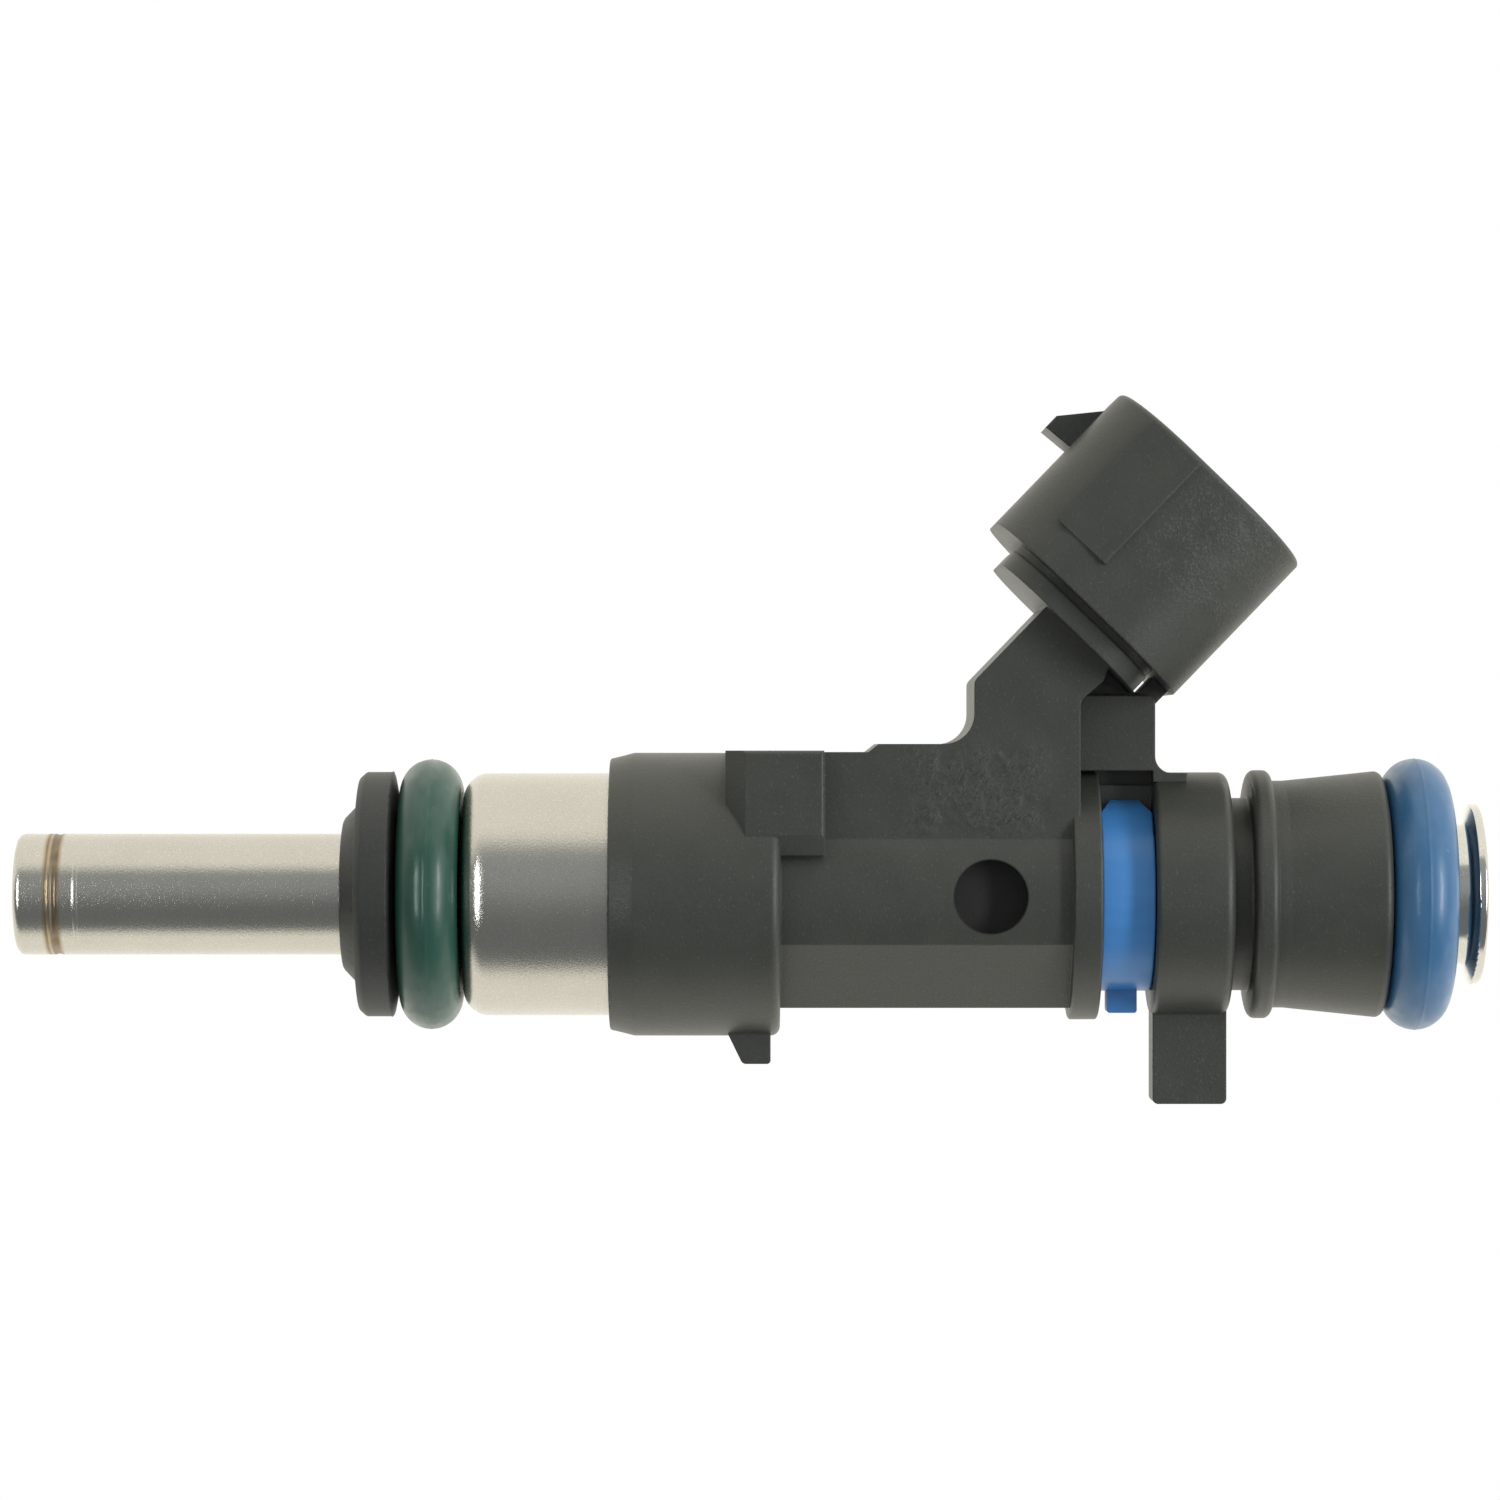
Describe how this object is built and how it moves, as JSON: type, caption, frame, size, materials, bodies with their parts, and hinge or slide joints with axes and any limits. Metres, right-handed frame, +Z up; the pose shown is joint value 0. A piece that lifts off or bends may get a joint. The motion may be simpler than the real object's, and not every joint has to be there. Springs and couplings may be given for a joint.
{
  "type": "fuel injector",
  "caption": "Port fuel injector with a long steel nozzle, black moulded body, tilted electrical socket, a green and a blue O-ring and a lifting needle valve.",
  "frame": {"origin": "on the injector's axis at the middle of the lower O-ring, where it seats in the manifold", "axes": "+Z up the injector's axis towards the fuel inlet, -X towards the electrical connector, +Y across, right-handed"},
  "size_m": [0.0378, 0.0174, 0.0784],
  "materials": {
    "black_nylon": "satin moulded, fine sparkle",
    "blue_acetal": "smooth moulded",
    "green_rubber": "smooth, lightly oiled",
    "blue_rubber": "smooth, lightly oiled",
    "black_washer_nylon": "matt moulded",
    "can_steel": "turned, satin",
    "nozzle_steel": "drawn, satin, heat-tinted weld",
    "inlet_steel": "drawn, bright",
    "sleeve_steel": "drawn",
    "core_iron": "soft magnetic steel",
    "armature_iron": "plated",
    "needle_steel": "ground",
    "ball_steel": "lapped",
    "seat_steel": "ground",
    "spray_steel": "etched foil",
    "brass_tube": "drawn",
    "spring_steel": "drawn wire",
    "bobbin_nylon": "moulded",
    "copper_wire": "enamelled wire",
    "tinned_terminal": "tinned",
    "filter_brass": "turned",
    "filter_nylon": "natural moulded",
    "filter_cloth": "woven nylon"
  },
  "bodies": {
    "injector_body": {"overmould_housing": "black_nylon", "marker_ring": "blue_acetal", "lower_o_ring": "green_rubber", "upper_o_ring": "blue_rubber", "support_washer": "black_washer_nylon", "solenoid_can": "can_steel", "nozzle_extension": "nozzle_steel", "inlet_tube": "inlet_steel", "valve_sleeve": "sleeve_steel", "flux_washer": "core_iron", "pole_core": "core_iron", "valve_seat": "seat_steel", "spray_plate": "spray_steel", "adjusting_tube": "brass_tube", "return_spring": "spring_steel", "coil_bobbin": "bobbin_nylon", "coil_winding": "copper_wire", "terminal_left": "tinned_terminal", "terminal_right": "tinned_terminal", "filter_collar": "filter_brass", "filter_frame": "filter_nylon", "filter_mesh": "filter_cloth"},
    "needle": {"armature": "armature_iron", "needle_tube": "needle_steel", "valve_ball": "ball_steel"}
  },
  "joints": [
    {"name": "needle_lift", "type": "slide", "parent": "injector_body", "child": "needle", "axis": [0, 0, 1], "range_m": [0, 0.00008], "stiffness_N_per_m": 1500, "springref_m": -0.002, "deforming": ["return_spring"]}
  ]
}
